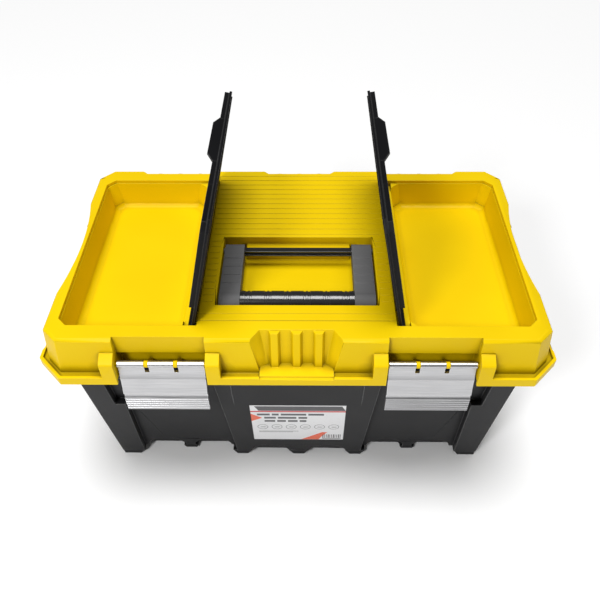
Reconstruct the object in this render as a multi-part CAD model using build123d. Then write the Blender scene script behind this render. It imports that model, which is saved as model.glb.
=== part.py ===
from build123d import *
import os

# Toolbox with a lift-out tray, two organiser bins in the lid, a folding handle and two front latches.
# X runs across the front, Y from front to back, Z up. The origin is on the floor, under the middle of the
# box. The lid and the latches are closed, the handle is folded down and the two bin covers stand open.
# Every size is in millimetres.

# ---- the closed case
WIDTH = 468.0              # across the lid's lip
DEPTH = 287.0              # from the lip's front to the back of the hinge knuckles
HEIGHT = 237.0             # floor to lid top
WALL = 2.6                 # moulded wall
GAP = 0.3                  # clearance between pieces that move past each other
RUN = 0.05                 # radial clearance of a shaft in its bore
OVER = 1.0                 # how far cutters reach past a face, and joined bodies into each other

# ---- the lid
LID_H = 47.0               # lid's height, from its lip's lower edge to its top
LIP_H = 9.5                # height of the lip
LIP_T = 3.0                # thickness of the lip
FLANGE_Z = 7.0             # from the lip's lower edge to the flange's upper face
FLANGE_T = 3.0             # thickness of the flange
LIP_CORNER = 23.0          # corner cut of the lip
TOP_INSET = 12.0           # top face's edge inside the lip, front and back
TOP_INSET_X = 12.5         # the same at the sides
TOP_FLARE = 3.5            # how much wider the body is at the flange than at the top
TOP_CORNER = 14.0          # corner cut of the top
TOP_BEVEL = 2.5            # bevel round the top face
SIDE_FALL = 2.4            # the top falls towards its sides
SIDE_FALL_W = 7.5

# ---- hinge at the back
KNUCKLE_R = 5.5
PIN_R = 2.0
PIN_L = 104.0
HINGE_X = 115.0            # middle of each hinge, left and right
KNUCKLE_L = 16.0           # length of a base knuckle
LEAF_GAP = 0.5             # between the hinge arms and the lip's lower edge
KNUCKLE_END = 2.0          # pin's end beyond the outer knuckle
LIP_BACK_GAP = 1.0         # lid's lip to the knuckles

# ---- organiser bins in the lid
SEAT_FRONT = 29.7          # from the lip's front to the cover seat
SEAT_BACK = 31.2           # from the lip's back to the cover seat
SEAT_SIDE = 23.5           # from the lip's side to the cover seat
SEAT_DEPTH = 3.8
SEAT_CORNER = 8.0
SEAT_LEDGE = 0.5           # cover seat round the mouth of the bin
PLATEAU_X = 87.5           # half width of the raised middle of the lid
PLATEAU_DROP = 0.6         # field between the plateau's ridges
PLATEAU_EDGE = 5.0         # flat margin in front of and behind that field
RIDGE_SIDE = 1.5           # ridges' ends inside the plateau's edges
RIDGE_BACK = 6.0           # last ridge in front of the back scoops
RIDGE_POCKET = 3.0         # short ridges beside the handle pocket
RIDGE_ROOT = 2.0           # how deep the ridges reach into the top
COVER_HINGE_X = 92.5
COVER_PIN_DOWN = 3.5       # cover hinge axis below the top
TROUGH_DEPTH = 7.5
TROUGH_X = 99.5            # trough's outer edge
BIN_DEPTH = 30.5
BIN_DRAFT = 5.3            # wall's slope over the depth of the bin
BIN_CORNER = 9.0           # cut corners beside the hinge trough
BIN_FILLET = 6.0           # round between the bin's floor and its walls

# ---- bin covers
COVER_T = 2.5
RIDGE_H = 1.0
RIDGE_W = 2.4
RIDGE_PITCH = 8.3
BARREL_R = 3.0
STUB_R = 1.6
STUB_IN = 0.4              # stub ends short of the wall's far face
COVER_RIDGE_IN = 2.0       # ridges end short of the cover's outer edge
SKIRT_H = 4.5
SKIRT_T = 3.6
SKIRT_IN = 1.6
COVER_SIDE_GAP = 0.7
COVER_OPEN_LEFT = 102.8    # degrees that the left cover stands open at
COVER_OPEN_RIGHT = 101.5   # degrees that the right cover stands open at
TAB_HALF = 24.5            # thumb tab's half length along its lower edge
TAB_SLOPE = 10.5           # run of the tab's slanted ends
TAB_DROP = 10.0
TAB_BACK = 17.7            # tab behind the cover's middle
TAB_IN = 1.2               # tab behind the skirt's face
STEP_IN = 0.8              # depth of the stepped stretches of the skirt
STEP_DOWN = 0.4            # the steps start below the cover plate
STEP_NEAR = 51.0           # stepped stretch, from the cover's middle
STEP_FAR = 99.0
WAIST_IN = 1.5             # deeper stretch beside the tab

# ---- folding handle
GRIP_FROM_FRONT = 68.3     # lip's front to the middle of the grip
HANDLE_HALF_X = 71.7
HANDLE_REACH = 67.2        # grip's middle to the pivot
ARM_W = 19.2
ARM_H = 12.0
ARM_GAP = 1.0              # arm to the shelf in the pocket
BAND_SIDE = 1.5            # raised bands inside the arm's sides
BAND_L = 5.0
BAND_H = 0.8
BANDS = (0.22, 0.39, 0.56, 0.73)   # bands' places as shares of the way from the grip to the pivot
GRIP_R = 9.4
GRIP_RING_H = 0.5
GRIP_RINGS = 6
RING_PITCH = 17.8
RING_GROOVE = 2.0
PIVOT_R = 3.0
PIVOT_DOWN = 8.0           # handle pivot below the top
HANDLE_DOWN = 1.0          # arm's upper face below the top
BAR_D = 6.4
BAR_H = 6.4
BAR_FLANGE = 1.8
BAR_IN = 1.0               # bar's back face in front of the pivot
BAR_DOWN = 1.0             # bar below the arms' upper faces
POCKET_SIDE = 1.8          # handle pocket beside the arms
POCKET_FRONT = 4.0         # handle pocket in front of the grip
POCKET_BACK = 13.0         # handle pocket behind the pivot
POCKET_DEPTH = 22.0
SHELF_DEPTH = 9.6          # shelf in the pocket behind the handle bar
SHELF_W = 10.0

# ---- latches
LATCH_X = 119.4            # middle of each latch, left and right
LATCH_W = 76.4
LATCH_H = 58.5             # barrel's axis to the lower edge
LATCH_T = 2.2
LATCH_BARREL_R = 3.1
LATCH_DOWN = 27.0          # barrel's axis below the lid's top
LATCH_IN = 8.0             # barrel's axis behind the lip's front
ROD_R = 1.6
SLOT_W = 4.1
SLOT_X = 13.0              # slot to the latch's middle
WEB_W = 3.5
LATCH_SIDE = 1.8           # latch to the pocket's side
POCKET_TOP_IN = 4.3        # recess of the lid's wall above the latch
POCKET_LOW_IN = 12.5       # deeper recess behind the barrel
POCKET_LOW_H = 25.5        # height of the deeper recess above the lip's lower edge
POST_W = 12.5
POST_TOP = 32.5            # post's top above the lip's lower edge, at the wall
POST_EDGE = 26.5           # the same at the front
POST_FLAT = 2.5            # level stretch of the post's top
POST_ROUND = 1.2           # cut at the post's front edge
WEB_T = 2.5                # web's thickness at the wall
WEB_DROP = 15.3            # web's foot on the wall, below the rod
LATCH_FACE = 0.8           # panel's face behind the lip's front
NECK_DOWN = 8.0            # narrowest place of the latch below the barrel's axis
NECK_OUT = 2.4             # its face in front of that axis
BEND_OUT = 3.9             # the bend's face in front of that axis
LATCH_RIBS = 5
RIB_PITCH = 3.2
RIB_SHARE = 0.55           # rib's height as a share of the pitch
RIB_ABOVE = 6.0            # straight part of the panel above the ribs
HOOK_SIDE = 8.0            # hook's ends inside the latch's sides
SLOT_DOWN = 9.0            # slot's lower end below the barrel's axis
SLOT_REACH = 6.0
HOOK_UP = 6.0              # hook above the latch's lower edge
HOOK_T = 3.0
APRON_IN = 7.5             # base's catch behind the lip's front
APRON_T = 3.5
APRON_W = 66.0

# ---- finger recess in the lid's front
GRIP_HALF_OUT = 41.0       # half widths at the top: at the lid's face and at the recess's back
GRIP_HALF_IN = 32.5
GRIP_CUT = 13.1
GRIP_LEAN = 8.0            # how far the recess's walls lean in towards its foot
GRIP_RIBS = 3
GRIP_RIB_W = 8.0
GRIP_RIB_PITCH = 19.5
GRIP_RIB_H = 4.5
GRIP_RIB_FOOT = 2.0        # rib's foot is wider than GRIP_RIB_W on each side
GRIP_RIB_TIP = 1.0         # rib's edge is narrower on each side

# ---- scallops round the lid
SIDE_SCOOP = 7.5           # depth of the side scoop
SIDE_SCOOP_HALF = 65.0
SIDE_RIBS = 5
SIDE_RIB_PITCH = 16.0
SIDE_RIB_W = 4.0
SIDE_RIB_OUT = 1.4         # ribs stand out of the side scoop
SIDE_RIB_DOWN = 3.0        # ribs' upper ends below the top
BACK_SCOOP = 6.5           # depth of the back scoops
BACK_SCOOP_X = 133.0       # middle of the back scoops, left and right
BACK_SCOOP_HALF = 44.0
BACK_MID_HALF = 41.5
BACK_SLOPE = 14.0
BUMP_R = 10.0
BUMP_H = 1.8
BUMP_PITCH = 22.0
BUMP_KEEP = 0.5            # root of a bump in the scoop's wall

# ---- base
BASE_IN_X = 34.0           # base's foot inside the lip, at the sides
BASE_IN_FRONT = 44.3       # the same at the front
BASE_IN_BACK = 32.0        # the same at the back
SIDE_SLOPE = 0.038
FRONT_SLOPE = 0.136
BACK_WALL_SLOPE = 0.06
FOOT_H = 8.0
PANEL_H = 8.0              # columns and middle panel in front of the latch walls
SIDE_PANEL = 3.0           # columns beside the side walls
COLUMN_W = 24.0            # corner column's width at the floor
COLUMN_TOP_W = 21.7        # the same above the step
COLUMN_STEP = 120.0
COLUMN_LEAN = 0.03         # inner edge leans in below the step
PANEL_HALF = 69.2          # middle panel's half width at the floor
PANEL_FLARE = 0.064
RELIEF_HALF = 63.5         # relief above the label
RELIEF_LOW = 118.0
RELIEF_DEPTH = 1.8
COLLAR_H = 7.7
COLLAR_IN = 9.5            # collar inside the lip
FOOT_X = (0.0, 64.0, 124.0)
FOOT_W = 12.0
FOOT_FLARE = 5.0
ARCH_W = 42.0
ARCH_H = 26.0
ARCH_IN = 4.0

# ---- tray
TRAY_H = 56.0
TRAY_GAP = 4.0             # tray to the base's walls
TRAY_WALL = 2.0
TRAY_TOP = 2.0             # tray's rim above the lip's lower edge
TRAY_DRAFT = 4.0
SPINE_W = 34.0             # raised middle of the tray that carries its handle
TRAY_GRIP_L = 130.0
TRAY_GRIP_R = 6.0
TRAY_GRIP_UP = 5.0         # top of the tray's bar above its rim
TRAY_WELL_DRAFT = 2.0      # slope of a well's walls over its depth
TRAY_SKIN = 4.0            # walls round the hollow of the middle wall
DIP_SIDE = 3.0             # the hand's dip reaches past the middle wall
LEDGE_D = 9.0
LEDGE_L = 120.0

# ---- label
LABEL_W = 97.0
LABEL_H = 80.0
LABEL_T = 0.3
LABEL_DOWN = 70.0          # from the lip's lower edge to the label's top

# ---- heights and edges that follow
RIM = HEIGHT - LID_H                    # lower edge of the lid's lip
FRONT = -DEPTH / 2
BACK = DEPTH / 2
HALF = WIDTH / 2
HINGE_Y = BACK - KNUCKLE_R
HINGE_Z = RIM + 1.5
LIP_BACK = HINGE_Y - KNUCKLE_R - LIP_BACK_GAP
FLANGE_TOP = RIM + FLANGE_Z
FLANGE_LOW = FLANGE_TOP - FLANGE_T
TOP_FRONT = FRONT + TOP_INSET
TOP_BACK = LIP_BACK - TOP_INSET
TOP_HALF = HALF - TOP_INSET_X
SEAT_Y0 = FRONT + SEAT_FRONT
SEAT_Y1 = LIP_BACK - SEAT_BACK
SEAT_X1 = HALF - SEAT_SIDE
COVER_Z = HEIGHT - COVER_PIN_DOWN
GRIP_Y = FRONT + GRIP_FROM_FRONT
PIVOT_Y = GRIP_Y + HANDLE_REACH
PIVOT_Z = HEIGHT - PIVOT_DOWN
ARM_TOP = HEIGHT - HANDLE_DOWN
GRIP_Z = HEIGHT - GRIP_R - GRIP_RING_H
LATCH_Y = FRONT + LATCH_IN
LATCH_Z = HEIGHT - LATCH_DOWN
LATCH_LOW = LATCH_Z - LATCH_H
LATCH_HALF = LATCH_W / 2
COLLAR_TOP = FLANGE_LOW - GAP
TRAY_Z1 = RIM + TRAY_TOP
TRAY_Z0 = TRAY_Z1 - TRAY_H
SCOOP_R = (SIDE_SCOOP_HALF ** 2 + SIDE_SCOOP ** 2) / (2 * SIDE_SCOOP)


def block(x0, x1, y0, y1, z0, z1):
    """An upright box between two corners."""
    low = Vector(min(x0, x1), min(y0, y1), min(z0, z1))
    size = (abs(x1 - x0), abs(y1 - y0), abs(z1 - z0))
    return Pos(*low) * Box(*size, align=(Align.MIN, Align.MIN, Align.MIN))


def ring(points, z):
    """A closed outline at height z."""
    return Wire.make_polygon([Vector(x, y, z) for x, y in points], close=True)


def prism(points, z0, z1):
    """An outline in XY, raised from z0 to z1."""
    return extrude(Face(ring(points, z0)), z1 - z0, dir=(0, 0, 1))


def loft_between(points0, z0, points1, z1):
    """Flat-sided body between two outlines."""
    return Solid.make_loft([ring(points0, z0), ring(points1, z1)], ruled=True)


def octagon(half, front, back, corner):
    """Rectangle with cut corners, as eight points."""
    return [(-half, front + corner), (-half + corner, front), (half - corner, front), (half, front + corner),
            (half, back - corner), (half - corner, back), (-half + corner, back), (-half, back - corner)]


def rectangle(x0, x1, y0, y1):
    return [(x0, y0), (x1, y0), (x1, y1), (x0, y1)]


def rod(axis, centre, radius, length):
    """A round bar about a centre, along X or Y."""
    turn = Rot(0, 90, 0) if axis == "x" else Rot(90, 0, 0)
    return Pos(*centre) * turn * Cylinder(radius, length)


def side_profile(points, x0, x1):
    """An outline in YZ, extruded from x0 to x1."""
    wire = Wire.make_polygon([Vector(x0, y, z) for y, z in points], close=True)
    return extrude(Face(wire), x1 - x0, dir=(1, 0, 0))


def join(pieces):
    """Fuse a list of bodies."""
    first, *rest = pieces
    return first.fuse(*rest) if rest else first


def mirrored(shape):
    """The same shape on the other side of the middle."""
    return mirror(shape, about=Plane.YZ)


# ---------------------------------------------------------------- base

def base_half(z):
    return HALF - BASE_IN_X + SIDE_SLOPE * z


def base_front(z):
    return FRONT + BASE_IN_FRONT - FRONT_SLOPE * z


def base_back(z):
    return LIP_BACK - BASE_IN_BACK + BACK_WALL_SLOPE * z


def base_core(inset, z0, z1):
    """The tapered tub between the columns."""
    def outline(z):
        half = base_half(z) - SIDE_PANEL - inset
        return rectangle(-half, half, base_front(z) + PANEL_H + inset, base_back(z) - SIDE_PANEL - inset)
    return loft_between(outline(z0), z0, outline(z1), z1)


def base_column(side, back, inset, z0, z1):
    """One corner column, drawn out from the tub, with a step where its upper part gets narrower."""
    def outline(z, inner):
        outer = base_half(z) - inset
        if back:
            y0, y1 = base_back(z) - COLUMN_W + inset, base_back(z) - inset
        else:
            y0, y1 = base_front(z) + inset, base_front(z) + COLUMN_W - inset
        return rectangle(side * (inner + inset), side * outer, y0, y1)

    def slim(z):
        return outline(z, base_half(z) - COLUMN_TOP_W)

    def wide(z):
        return outline(z, base_half(0) - COLUMN_W - COLUMN_LEAN * z)
    step = COLUMN_STEP - inset
    return join([loft_between(slim(z0), z0, slim(z1), z1), loft_between(wide(z0), z0, wide(step), step)])


def base_panel(inset, z0, z1):
    """The middle panel of the front, wider at its top."""
    def outline(z):
        half = PANEL_HALF + PANEL_FLARE * z - inset
        return rectangle(-half, half, base_front(z) + inset, base_front(z) + PANEL_H + WALL + inset + OVER)
    return loft_between(outline(z0), z0, outline(z1), z1)


def base_masses(inset, z0, z1):
    columns = [base_column(side, back, inset, z0, z1) for side in (-1, 1) for back in (False, True)]
    return join([base_core(inset, z0, z1), base_panel(inset, z0, z1)] + columns)


def foot(x, y0, y1):
    """A foot that flares towards the wall above it."""
    low = rectangle(x - FOOT_W / 2, x + FOOT_W / 2, y0, y1)
    high = rectangle(x - FOOT_W / 2 - FOOT_FLARE, x + FOOT_W / 2 + FOOT_FLARE, y0, y1)
    return loft_between(low, 0, high, FOOT_H)


def base_feet():
    feet = []
    for side in (-1, 1):
        outer, inner = base_half(0), base_half(0) - COLUMN_W
        low = inner + FOOT_FLARE
        for y0, y1 in ((base_front(0), base_front(0) + COLUMN_W), (base_back(0) - COLUMN_W, base_back(0))):
            feet.append(loft_between(rectangle(side * low, side * outer, y0, y1), 0,
                                     rectangle(side * inner, side * base_half(FOOT_H), y0, y1), FOOT_H))
    for x in FOOT_X:
        for side in (-1, 1) if x else (1,):
            front = base_front(0) + (0 if x < PANEL_HALF else PANEL_H)
            feet.append(foot(side * x, front, front + COLUMN_W / 2))
            back = base_back(0) - SIDE_PANEL
            feet.append(foot(side * x, back - COLUMN_W / 2, back))
    return feet


def arch(x, wall_y, grow):
    """A shallow arch pressed into the foot of the front wall, grown by a wall for the skin round it."""
    half, top = ARCH_W / 2 + grow, ARCH_H + grow
    radius = (half * half + top * top) / (2 * top)
    disc = rod("y", (x, 0, top - radius), radius, 2 * ARCH_H)
    shape = disc & block(x - half, x + half, -ARCH_H, ARCH_H, FOOT_H / 2, top + OVER)
    tilt = Pos(0, wall_y, 0) * Rot(degrees_of(FRONT_SLOPE), 0, 0)
    return tilt * Pos(0, ARCH_IN + grow - ARCH_H, 0) * shape


def degrees_of(slope):
    """The angle whose tangent is the slope."""
    return Vector(1, 0, 0).get_angle(Vector(1, slope, 0))


def base_arches(grow):
    """Two arches on each half of the middle panel's foot, and two in each latch wall's foot."""
    arches = []
    wall = base_front(0) + PANEL_H
    away = ARCH_W / 2 + FOOT_FLARE
    for side in (-1, 1):
        arches.append(arch(side * (FOOT_X[1] / 2), base_front(0), grow))
        arches.append(arch(side * (FOOT_X[2] + away), wall, grow))
        arches.append(arch(side * (FOOT_X[2] - away), wall, grow))
    return arches


def panel_relief():
    """Wedge taken off the middle panel above the label, deepest under the collar."""
    top, low = COLLAR_TOP - COLLAR_H, RELIEF_LOW
    wedge = [(base_front(low), low), (base_front(top) + RELIEF_DEPTH, top), (base_front(top) - WALL, top),
             (base_front(low) - WALL, low)]
    return side_profile(wedge, -RELIEF_HALF, RELIEF_HALF)


def base_shell():
    outer = base_masses(0, FOOT_H, COLLAR_TOP)
    collar = prism(octagon(HALF - COLLAR_IN, FRONT + COLLAR_IN, LIP_BACK - COLLAR_IN, LIP_CORNER),
                   COLLAR_TOP - COLLAR_H, COLLAR_TOP)
    outer = join([outer, collar] + base_feet())
    outer = outer.cut(*base_arches(0))
    outer = outer.cut(panel_relief())
    hollow = base_masses(WALL, FOOT_H + WALL, COLLAR_TOP + OVER)
    outer = outer.cut(hollow.cut(*base_arches(WALL)))
    additions = []
    for side in (-1, 1):
        # The catch that each latch closes over, hung from the collar.
        half = APRON_W / 2
        x0, x1 = side * LATCH_X - half, side * LATCH_X + half
        y0 = FRONT + APRON_IN
        low = LATCH_LOW + HOOK_UP + HOOK_T + GAP
        additions.append(block(x0, x1, y0, y0 + APRON_T, low, COLLAR_TOP))
        for x in (x0, x1 - WALL):
            additions.append(block(x, x + WALL, y0 + OVER, base_front(low) + PANEL_H + OVER, low,
                                   COLLAR_TOP - OVER))
        # Knuckles of the back hinge.
        for step in (-1, 0, 1):
            x = side * HINGE_X + step * (PIN_L / 2 - KNUCKLE_L / 2 - KNUCKLE_END)
            additions.append(rod("x", (x, HINGE_Y, HINGE_Z), KNUCKLE_R, KNUCKLE_L))
            additions.append(block(x - KNUCKLE_L / 2, x + KNUCKLE_L / 2, LIP_BACK - COLLAR_IN - OVER, HINGE_Y,
                                   RIM - KNUCKLE_R - LEAF_GAP, RIM - LEAF_GAP))
        # The ledge that the tray stands on.
        wall_x = base_half(TRAY_Z0) - SIDE_PANEL - WALL / 2
        additions.append(block(side * (wall_x - LEDGE_D), side * wall_x, -LEDGE_L / 2, LEDGE_L / 2,
                               TRAY_Z0 - GAP - LEDGE_D, TRAY_Z0 - GAP))
    body = join([outer] + additions)
    bores = [rod("x", (side * HINGE_X, HINGE_Y, HINGE_Z), PIN_R + RUN, PIN_L + 2 * OVER) for side in (-1, 1)]
    return body.cut(*bores)


def front_label():
    """The printed sheet on the middle panel, at the panel's slope."""
    sheet = block(-LABEL_W / 2, LABEL_W / 2, -LABEL_T, 0, RIM - LABEL_DOWN - LABEL_H, RIM - LABEL_DOWN)
    return Pos(0, base_front(0), 0) * Rot(degrees_of(FRONT_SLOPE), 0, 0) * sheet


def hinge_pin(side):
    return rod("x", (side * HINGE_X, HINGE_Y, HINGE_Z), PIN_R, PIN_L)


# ---------------------------------------------------------------- lid

def lid_body(inset, z0, z1):
    """The lid's body, wider at the flange than at the top."""
    def outline(z):
        flare = TOP_FLARE * (HEIGHT - z) / (HEIGHT - FLANGE_TOP) - inset
        return octagon(TOP_HALF + flare, TOP_FRONT - flare, TOP_BACK + flare, TOP_CORNER)
    return loft_between(outline(z0), z0, outline(z1), z1)


def seat_outline(grow):
    """Outline of the cover seat on the right: only the two outer corners are cut."""
    x0, x1 = PLATEAU_X - grow, SEAT_X1 + grow
    y0, y1, c = SEAT_Y0 - grow, SEAT_Y1 + grow, SEAT_CORNER
    return [(x0, y0), (x1 - c, y0), (x1, y0 + c), (x1, y1 - c), (x1 - c, y1), (x0, y1)]


def bin_outline(grow, slope):
    x0, x1 = TROUGH_X + slope - grow, SEAT_X1 - SEAT_LEDGE - slope + grow
    y0, y1 = SEAT_Y0 + SEAT_LEDGE + slope - grow, SEAT_Y1 - SEAT_LEDGE - slope + grow
    c, near = SEAT_CORNER, BIN_CORNER
    return [(x0 + near, y0), (x1 - c, y0), (x1, y0 + c), (x1, y1 - c), (x1 - c, y1), (x0 + near, y1),
            (x0, y1 - near), (x0, y0 + near)]


def bin_pocket(grow):
    """Seat, hinge trough and bin of the right organiser, grown by a wall for the skin round it."""
    top = HEIGHT + OVER
    seat = prism(seat_outline(grow), HEIGHT - SEAT_DEPTH - grow, top)
    trough = block(PLATEAU_X - grow, TROUGH_X + OVER + grow, SEAT_Y0 - grow, SEAT_Y1 + grow,
                   HEIGHT - TROUGH_DEPTH - grow, top)
    mouth = HEIGHT - SEAT_DEPTH + OVER / 2
    floor_z = HEIGHT - BIN_DEPTH - grow
    well = loft_between(bin_outline(grow, BIN_DRAFT), floor_z, bin_outline(grow, 0), mouth)
    well = fillet(well.edges().filter_by_position(Axis.Z, floor_z - 0.01, floor_z + 0.01), BIN_FILLET + grow)
    return join([seat, trough, well])


def handle_pocket(grow):
    """Pocket that the handle folds into, with a shelf at its back between the arms."""
    half = HANDLE_HALF_X + POCKET_SIDE + grow
    back = PIVOT_Y + POCKET_BACK + grow
    low = HEIGHT - POCKET_DEPTH - grow
    pocket = block(-half, half, GRIP_Y - GRIP_R - POCKET_FRONT - grow, back, low, HEIGHT + OVER)
    shelf_half = HANDLE_HALF_X - ARM_W - ARM_GAP - grow
    shelf = block(-shelf_half, shelf_half, PIVOT_Y + POCKET_BACK - SHELF_W + grow, back + OVER, low - OVER,
                  HEIGHT - SHELF_DEPTH - grow)
    return pocket - shelf


def latch_pockets(grow, side):
    """Shallow recess of the lid's wall above a latch, and the deep one that its barrel turns in."""
    half = LATCH_HALF + LATCH_SIDE + grow
    x0, x1 = side * LATCH_X - half, side * LATCH_X + half
    y0, low = FRONT - OVER, RIM - OVER
    shallow = block(x0, x1, y0, TOP_FRONT + POCKET_TOP_IN + grow, low, HEIGHT + OVER)
    deep = block(x0, x1, y0, TOP_FRONT + POCKET_LOW_IN + grow, low, RIM + POCKET_LOW_H + grow)
    return join([shallow, deep])


def finger_recess(grow):
    """Recess for the fingers in the middle of the lid's front, with walls that lean in downwards."""
    def outline(lean):
        y0, y1 = FRONT - OVER, TOP_FRONT + GRIP_CUT - lean + grow
        out, inn = GRIP_HALF_OUT - lean + grow, GRIP_HALF_IN - lean + grow
        return [(-out, y0), (-out, TOP_FRONT), (-inn, y1), (inn, y1), (out, TOP_FRONT), (out, y0)]
    return loft_between(outline(GRIP_LEAN), FLANGE_TOP + OVER - grow, outline(0), HEIGHT + OVER)


def side_scoop(grow, side):
    """Long shallow scoop in the side of the lid."""
    middle = (TOP_FRONT + TOP_BACK) / 2
    z0 = FLANGE_TOP - grow
    centre = side * (TOP_HALF + SCOOP_R - SIDE_SCOOP)
    height = HEIGHT + OVER - z0
    return Pos(centre, middle, z0 + height / 2) * Cylinder(SCOOP_R + grow, height)


def back_scoops(grow):
    """Three scoops along the back edge of the lid."""
    y1, y0 = LIP_BACK + OVER, TOP_BACK - BACK_SCOOP - grow
    z0 = FLANGE_TOP - grow
    scoops = []
    for x, half in ((-BACK_SCOOP_X, BACK_SCOOP_HALF), (0, BACK_MID_HALF), (BACK_SCOOP_X, BACK_SCOOP_HALF)):
        out, inn = half + grow, half - BACK_SLOPE / 2 + grow
        outline = [(x - inn, y0), (x + inn, y0), (x + out, TOP_BACK), (x + out, y1), (x - out, y1),
                   (x - out, TOP_BACK)]
        scoops.append(prism(outline, z0, HEIGHT + OVER))
    return scoops


def lid_pockets(grow):
    right = bin_pocket(grow)
    pockets = [right, mirrored(right), handle_pocket(grow), finger_recess(grow)] + back_scoops(grow)
    for side in (-1, 1):
        pockets += [latch_pockets(grow, side), side_scoop(grow, side)]
    return pockets


def lid_flange():
    """Flange with an upstanding lip that also hangs over the base's collar."""
    outline = octagon(HALF, FRONT, LIP_BACK, LIP_CORNER)
    inner = octagon(HALF - LIP_T, FRONT + LIP_T, LIP_BACK - LIP_T, LIP_CORNER - LIP_T / 2)
    lip = prism(outline, RIM, RIM + LIP_H) - prism(inner, RIM - OVER, RIM + LIP_H + OVER)
    plate = prism(inner, FLANGE_LOW, FLANGE_TOP)
    return join([lip, plate])


def latch_posts():
    """Posts on both sides of each latch, with the rod that the latch turns on."""
    top, edge_z = RIM + POST_TOP, RIM + POST_EDGE
    profile = [(TOP_FRONT + OVER, top), (TOP_FRONT - POST_FLAT, top), (FRONT + POST_ROUND, edge_z + POST_ROUND),
               (FRONT, edge_z - POST_ROUND), (FRONT, RIM), (TOP_FRONT + OVER, RIM)]
    pieces = []
    for side in (-1, 1):
        for edge in (-1, 1):
            inner = side * LATCH_X + edge * (LATCH_HALF + LATCH_SIDE)
            outer = inner + edge * POST_W
            pieces.append(side_profile(profile, min(inner, outer), max(inner, outer)))
    return pieces


def latch_rods():
    pieces = []
    for side in (-1, 1):
        length = LATCH_W + 2 * (LATCH_SIDE + OVER)
        pieces.append(rod("x", (side * LATCH_X, LATCH_Y, LATCH_Z), ROD_R, length))
        for edge in (-1, 1):
            x = side * LATCH_X + edge * SLOT_X
            wall = TOP_FRONT + POCKET_LOW_IN + OVER
            web = [(LATCH_Y, LATCH_Z + ROD_R), (LATCH_Y, LATCH_Z - ROD_R), (wall, LATCH_Z - WEB_DROP),
                   (wall, LATCH_Z - WEB_DROP + WEB_T)]
            pieces.append(side_profile(web, x - WEB_W / 2, x + WEB_W / 2))
            pieces.append(rod("x", (x, LATCH_Y, LATCH_Z), LATCH_BARREL_R, WEB_W))
    return pieces


def plateau_ridges():
    """Thin ridges across the raised middle, behind the handle and in front of it, and short ones beside it."""
    pieces = []
    pocket_half = HANDLE_HALF_X + POCKET_SIDE
    pocket_back = PIVOT_Y + POCKET_BACK
    half, root = PLATEAU_X - RIDGE_SIDE, HEIGHT - RIDGE_ROOT
    for i in range(int((TOP_BACK - BACK_SCOOP - RIDGE_BACK - pocket_back) / RIDGE_PITCH)):
        y = pocket_back + RIDGE_PITCH * (i + 0.5)
        pieces.append(block(-half, half, y, y + RIDGE_W, root, HEIGHT))
    pocket_front = GRIP_Y - GRIP_R - POCKET_FRONT
    for i in range(int((pocket_front - SEAT_Y0) / RIDGE_PITCH)):
        y = pocket_front - RIDGE_PITCH * (i + 1)
        pieces.append(block(-half, half, y - RIDGE_W, y, root, HEIGHT))
    for i in range(int((pocket_back - pocket_front) / RIDGE_PITCH)):
        y = pocket_back - RIDGE_PITCH * (i + 0.5)
        for side in (-1, 1):
            pieces.append(block(side * (pocket_half + RIDGE_POCKET), side * half, y - RIDGE_W, y, root, HEIGHT))
    return pieces


def side_fall(side):
    """Wedge taken off the top along one side."""
    inner, outer = TOP_HALF - SIDE_FALL_W, TOP_HALF + TOP_BEVEL
    drop = SIDE_FALL * (outer - inner) / SIDE_FALL_W
    wedge = prism([(side * inner, TOP_FRONT + TOP_CORNER), (side * outer, TOP_FRONT + TOP_CORNER),
                   (side * outer, TOP_BACK - TOP_CORNER), (side * inner, TOP_BACK - TOP_CORNER)],
                  HEIGHT - drop, HEIGHT + OVER)
    lean = degrees_of(SIDE_FALL / SIDE_FALL_W)
    keep = Pos(side * inner, 0, HEIGHT) * Rot(0, side * lean, 0) * block(-WIDTH, WIDTH, -DEPTH, DEPTH, -WIDTH, 0)
    return wedge - keep


def lid_shell():
    outer = lid_body(0, FLANGE_LOW, HEIGHT)
    outer = chamfer(outer.edges().filter_by_position(Axis.Z, HEIGHT - 0.01, HEIGHT + 0.01), TOP_BEVEL)
    outer = outer.cut(side_fall(-1), side_fall(1))
    outer = join([outer, lid_flange()])
    plateau_cut = block(-PLATEAU_X, PLATEAU_X, SEAT_Y0 + PLATEAU_EDGE, TOP_BACK - BACK_SCOOP - PLATEAU_EDGE,
                        HEIGHT - PLATEAU_DROP, HEIGHT + OVER)
    outer = outer.cut(plateau_cut)
    outer = join([outer] + plateau_ridges() + latch_posts())
    body = outer.cut(*lid_pockets(0))
    hollow = lid_body(WALL, RIM - OVER, HEIGHT - WALL - OVER)
    hollow = hollow.cut(*lid_pockets(WALL))
    lip_space = prism(octagon(HALF - LIP_T, FRONT + LIP_T, LIP_BACK - LIP_T, LIP_CORNER - LIP_T / 2),
                      RIM - OVER, FLANGE_LOW)
    return body.cut(hollow).cut(lip_space)


def solids_of(shape):
    return shape.solids() if hasattr(shape, "solids") else [shape]


def finger_rib(x, y):
    """Outline of one rib on the recess's back wall."""
    half = GRIP_RIB_W / 2
    foot, tip = half + GRIP_RIB_FOOT, half - GRIP_RIB_TIP
    return [(x - foot, y + OVER), (x - tip, y - GRIP_RIB_H), (x + tip, y - GRIP_RIB_H), (x + foot, y + OVER)]


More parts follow.
